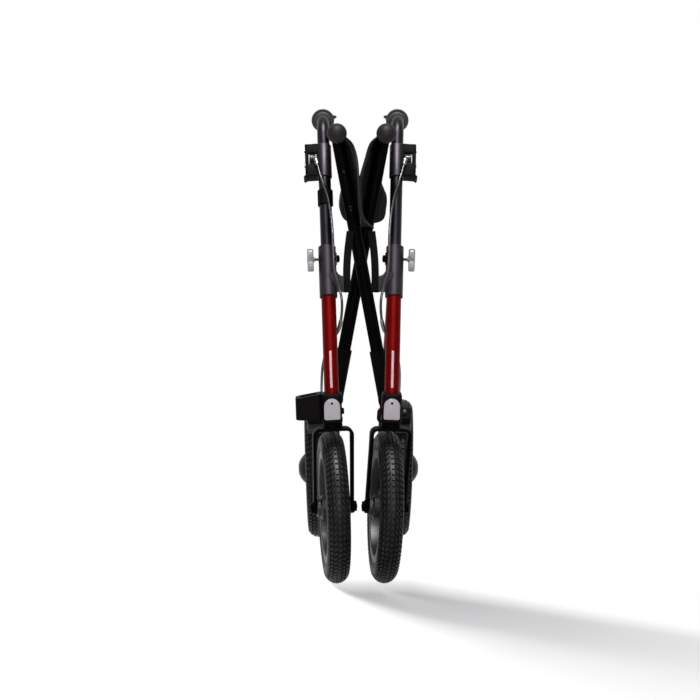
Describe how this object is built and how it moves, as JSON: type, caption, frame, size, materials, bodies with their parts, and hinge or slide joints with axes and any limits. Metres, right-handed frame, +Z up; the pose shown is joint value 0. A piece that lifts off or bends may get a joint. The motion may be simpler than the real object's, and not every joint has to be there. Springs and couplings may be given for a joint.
{
  "type": "all terrain rollator",
  "caption": "Folding walking frame with large treaded tyres, cross struts, sling seat, height-adjustable handles with brake levers and a cane cup; stored folded.",
  "frame": {"origin": "middle of the folded rollator's box, on the floor", "axes": "+Z up, the front of the rollator faces -Y, +X to its left-hand side as the user walks"},
  "size_m": [0.2548, 0.7916, 0.9031],
  "materials": {
    "red_paint": "gloss metallic red paint",
    "black_tube": "satin black powder coat",
    "stem_tube": "satin black anodised aluminium",
    "black_plastic": "moulded, lightly grained",
    "knob_grey": "moulded grey",
    "reflector_grey": "light grey, smooth",
    "rim_grey": "silver grey moulded",
    "steel": "zinc plated",
    "tyre_rubber": "treaded rubber",
    "grip_rubber": "soft matt",
    "cable_black": "smooth cable housing",
    "seat_cloth": "woven nylon",
    "brake_rubber": "moulded"
  },
  "bodies": {
    "side_left": {"front_leg_left": "red_paint", "clamp_sleeve_left": "black_plastic", "rail_saddle_left": "black_plastic", "rear_leg_left": "red_paint", "lower_rail_left": "black_tube", "caster_head_left": "black_plastic", "reflector_left": "reflector_grey", "rear_bracket_left": "black_plastic", "rear_axle_left": "steel", "brake_bracket_left": "black_plastic", "brake_cable_left": "cable_black", "cane_cup": "black_plastic"},
    "side_right": {"front_leg_right": "red_paint", "clamp_sleeve_right": "black_plastic", "rail_saddle_right": "black_plastic", "rear_leg_right": "red_paint", "lower_rail_right": "black_tube", "caster_head_right": "black_plastic", "reflector_right": "reflector_grey", "rear_bracket_right": "black_plastic", "rear_axle_right": "steel", "brake_bracket_right": "black_plastic", "brake_cable_right": "cable_black"},
    "cross_strut_a": {"strut_a": "black_tube", "strut_socket_a": "black_plastic", "seat_rail_a": "black_tube", "rail_caps_a": "black_plastic"},
    "cross_strut_b": {"strut_b": "black_tube", "strut_socket_b": "black_plastic", "pivot_bolt": "steel", "seat_rail_b": "black_tube", "rail_caps_b": "black_plastic", "seat_sling": "seat_cloth"},
    "stem_left": {"stem_left": "stem_tube", "grip_left": "grip_rubber", "brake_clamp_left": "black_plastic", "cane_band": "black_plastic"},
    "knob_left": {"clamp_knob_left": "knob_grey"},
    "lever_left": {"brake_lever_left": "black_plastic"},
    "shoe_left": {"brake_shoe_left": "brake_rubber"},
    "caster_left": {"fork_left": "black_tube", "front_axle_left": "steel"},
    "front_wheel_left": {"front_tyre_left": "tyre_rubber", "front_rim_left": "rim_grey"},
    "rear_wheel_left": {"rear_tyre_left": "tyre_rubber", "rear_rim_left": "rim_grey", "hub_cap_left": "black_plastic"},
    "stem_right": {"stem_right": "stem_tube", "grip_right": "grip_rubber", "brake_clamp_right": "black_plastic"},
    "knob_right": {"clamp_knob_right": "knob_grey"},
    "lever_right": {"brake_lever_right": "black_plastic"},
    "shoe_right": {"brake_shoe_right": "brake_rubber"},
    "caster_right": {"fork_right": "black_tube", "front_axle_right": "steel"},
    "front_wheel_right": {"front_tyre_right": "tyre_rubber", "front_rim_right": "rim_grey"},
    "rear_wheel_right": {"rear_tyre_right": "tyre_rubber", "rear_rim_right": "rim_grey", "hub_cap_right": "black_plastic"}
  },
  "joints": [
    {"name": "fold", "type": "hinge", "parent": "side_left", "child": "cross_strut_b", "pos_m": [-0.05, 0, 0.338], "axis": [0, 1, 0], "range_deg": [0, 50.1]},
    {"name": "cross_pivot", "type": "hinge", "parent": "cross_strut_b", "child": "cross_strut_a", "pos_m": [0, 0, 0.60638], "axis": [0, 1, 0], "range_deg": [-100.2, 0], "deforming": ["seat_sling"]},
    {"name": "right_hinge", "type": "hinge", "parent": "cross_strut_a", "child": "side_right", "pos_m": [0.05, 0, 0.338], "axis": [0, 1, 0], "range_deg": [0, 50.1]},
    {"name": "stem_slide_left", "type": "slide", "parent": "side_left", "child": "stem_left", "axis": [-0.03, 0.4226, 0.9058], "range_m": [-0.08, 0.06], "deforming": ["brake_cable_left"]},
    {"name": "knob_turn_left", "type": "hinge", "parent": "side_left", "child": "knob_left", "pos_m": [-0.09139, -0.17156, 0.6143], "axis": [-0.9995, 0, -0.0332], "continuous": true},
    {"name": "lever_squeeze_left", "type": "hinge", "parent": "stem_left", "child": "lever_left", "pos_m": [-0.09329, -0.07757, 0.79224], "axis": [0.9995, 0, 0.0332], "range_deg": [0, 8], "stiffness_Nm_per_rad": 1},
    {"name": "shoe_press_left", "type": "slide", "parent": "side_left", "child": "shoe_left", "axis": [0.0233, 0.7113, -0.7025], "range_m": [0, 0.0025]},
    {"name": "caster_swivel_left", "type": "hinge", "parent": "side_left", "child": "caster_left", "pos_m": [-0.05445, -0.30004, 0.29984], "axis": [-0.0332, 0, 0.9995], "range_deg": [-5, 15]},
    {"name": "front_wheel_spin_left", "type": "hinge", "parent": "caster_left", "child": "front_wheel_left", "pos_m": [-0.05335, -0.2502, 0.1458], "axis": [-0.9962, -0.0802, -0.033], "continuous": true},
    {"name": "rear_wheel_spin_left", "type": "hinge", "parent": "side_left", "child": "rear_wheel_left", "pos_m": [-0.08836, 0.2498, 0.14593], "axis": [-0.9995, 0, -0.0332], "continuous": true},
    {"name": "stem_slide_right", "type": "slide", "parent": "side_right", "child": "stem_right", "axis": [0.03, 0.4226, 0.9058], "range_m": [-0.08, 0.06], "deforming": ["brake_cable_right"]},
    {"name": "knob_turn_right", "type": "hinge", "parent": "side_right", "child": "knob_right", "pos_m": [0.09139, -0.17156, 0.6143], "axis": [0.9995, 0, -0.0332], "continuous": true},
    {"name": "lever_squeeze_right", "type": "hinge", "parent": "stem_right", "child": "lever_right", "pos_m": [0.09329, -0.07757, 0.79224], "axis": [0.9995, 0, -0.0332], "range_deg": [0, 8], "stiffness_Nm_per_rad": 1},
    {"name": "shoe_press_right", "type": "slide", "parent": "side_right", "child": "shoe_right", "axis": [-0.0233, 0.7113, -0.7025], "range_m": [0, 0.0025]},
    {"name": "caster_swivel_right", "type": "hinge", "parent": "side_right", "child": "caster_right", "pos_m": [0.05445, -0.30004, 0.29984], "axis": [0.0332, 0, 0.9995], "range_deg": [-15, 5]},
    {"name": "front_wheel_spin_right", "type": "hinge", "parent": "caster_right", "child": "front_wheel_right", "pos_m": [0.04533, -0.2502, 0.14607], "axis": [0.9962, 0.0802, -0.033], "continuous": true},
    {"name": "rear_wheel_spin_right", "type": "hinge", "parent": "side_right", "child": "rear_wheel_right", "pos_m": [0.08836, 0.2498, 0.14593], "axis": [0.9995, 0, -0.0332], "continuous": true}
  ],
  "couplings": [
    {"joint": "cross_pivot", "follows": "fold", "ratio": -2},
    {"joint": "right_hinge", "follows": "fold", "ratio": 1},
    {"joint": "shoe_press_left", "follows": "lever_squeeze_left", "m_per_rad": 0.0179},
    {"joint": "shoe_press_right", "follows": "lever_squeeze_right", "m_per_rad": 0.0179}
  ]
}
